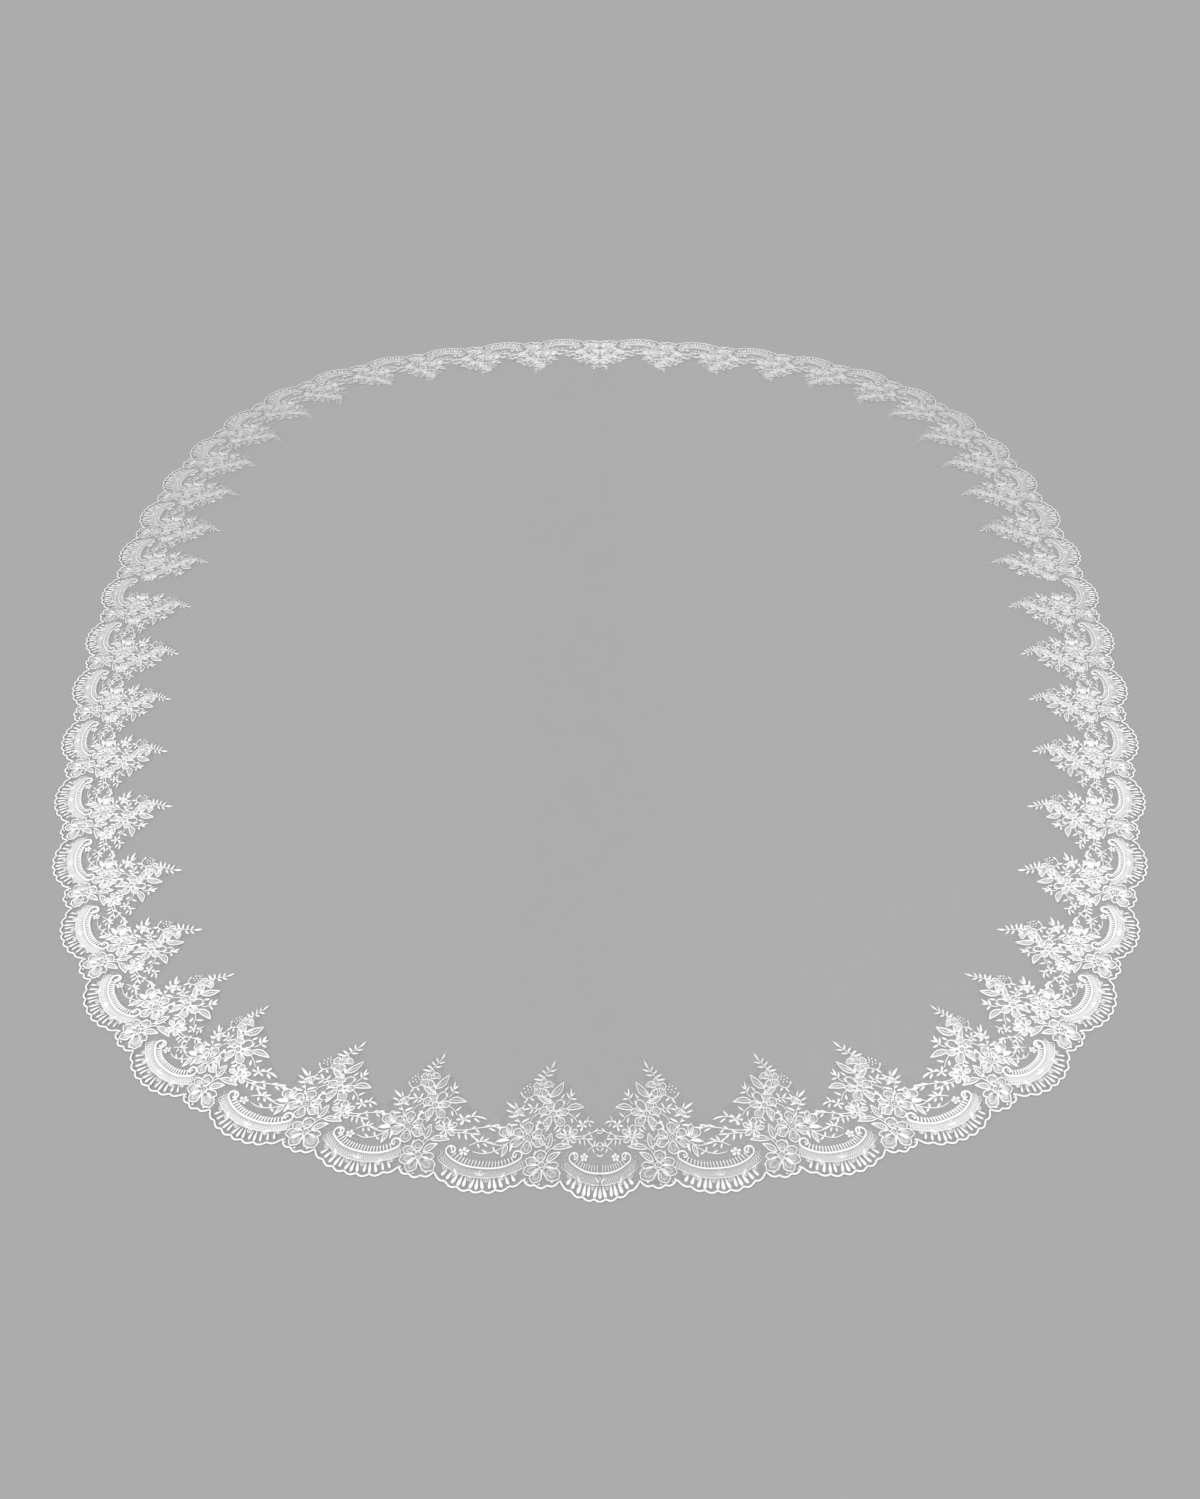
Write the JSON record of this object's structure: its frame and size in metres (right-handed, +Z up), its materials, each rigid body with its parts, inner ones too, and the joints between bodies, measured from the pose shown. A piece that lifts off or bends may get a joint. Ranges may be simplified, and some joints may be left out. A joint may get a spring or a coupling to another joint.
{
  "type": "bridal veil laid flat",
  "caption": "Long oval cathedral bridal veil of sheer tulle, laid flat, with a wide scalloped floral corded-lace edging all round.",
  "frame": {"origin": "on the floor, under the centre of the laid-out veil's box", "axes": "+Y from the narrow end to the broad end, +X to the right seen from the narrow end, +Z up; the halves mirror each other across X = 0"},
  "size_m": [3.0152, 3.9875, 0.0041],
  "materials": {
    "tulle": "sheer soft nylon tulle, fine even hexagonal net",
    "corded_lace": "off-white corded embroidery lace, satin stitch with a soft sheen, raised cord outlines"
  },
  "bodies": {
    "root": {"tulle_panel": "tulle", "lace_near_left": "corded_lace", "lace_near_right": "corded_lace", "lace_far_left": "corded_lace", "lace_far_right": "corded_lace"}
  },
  "joints": []
}
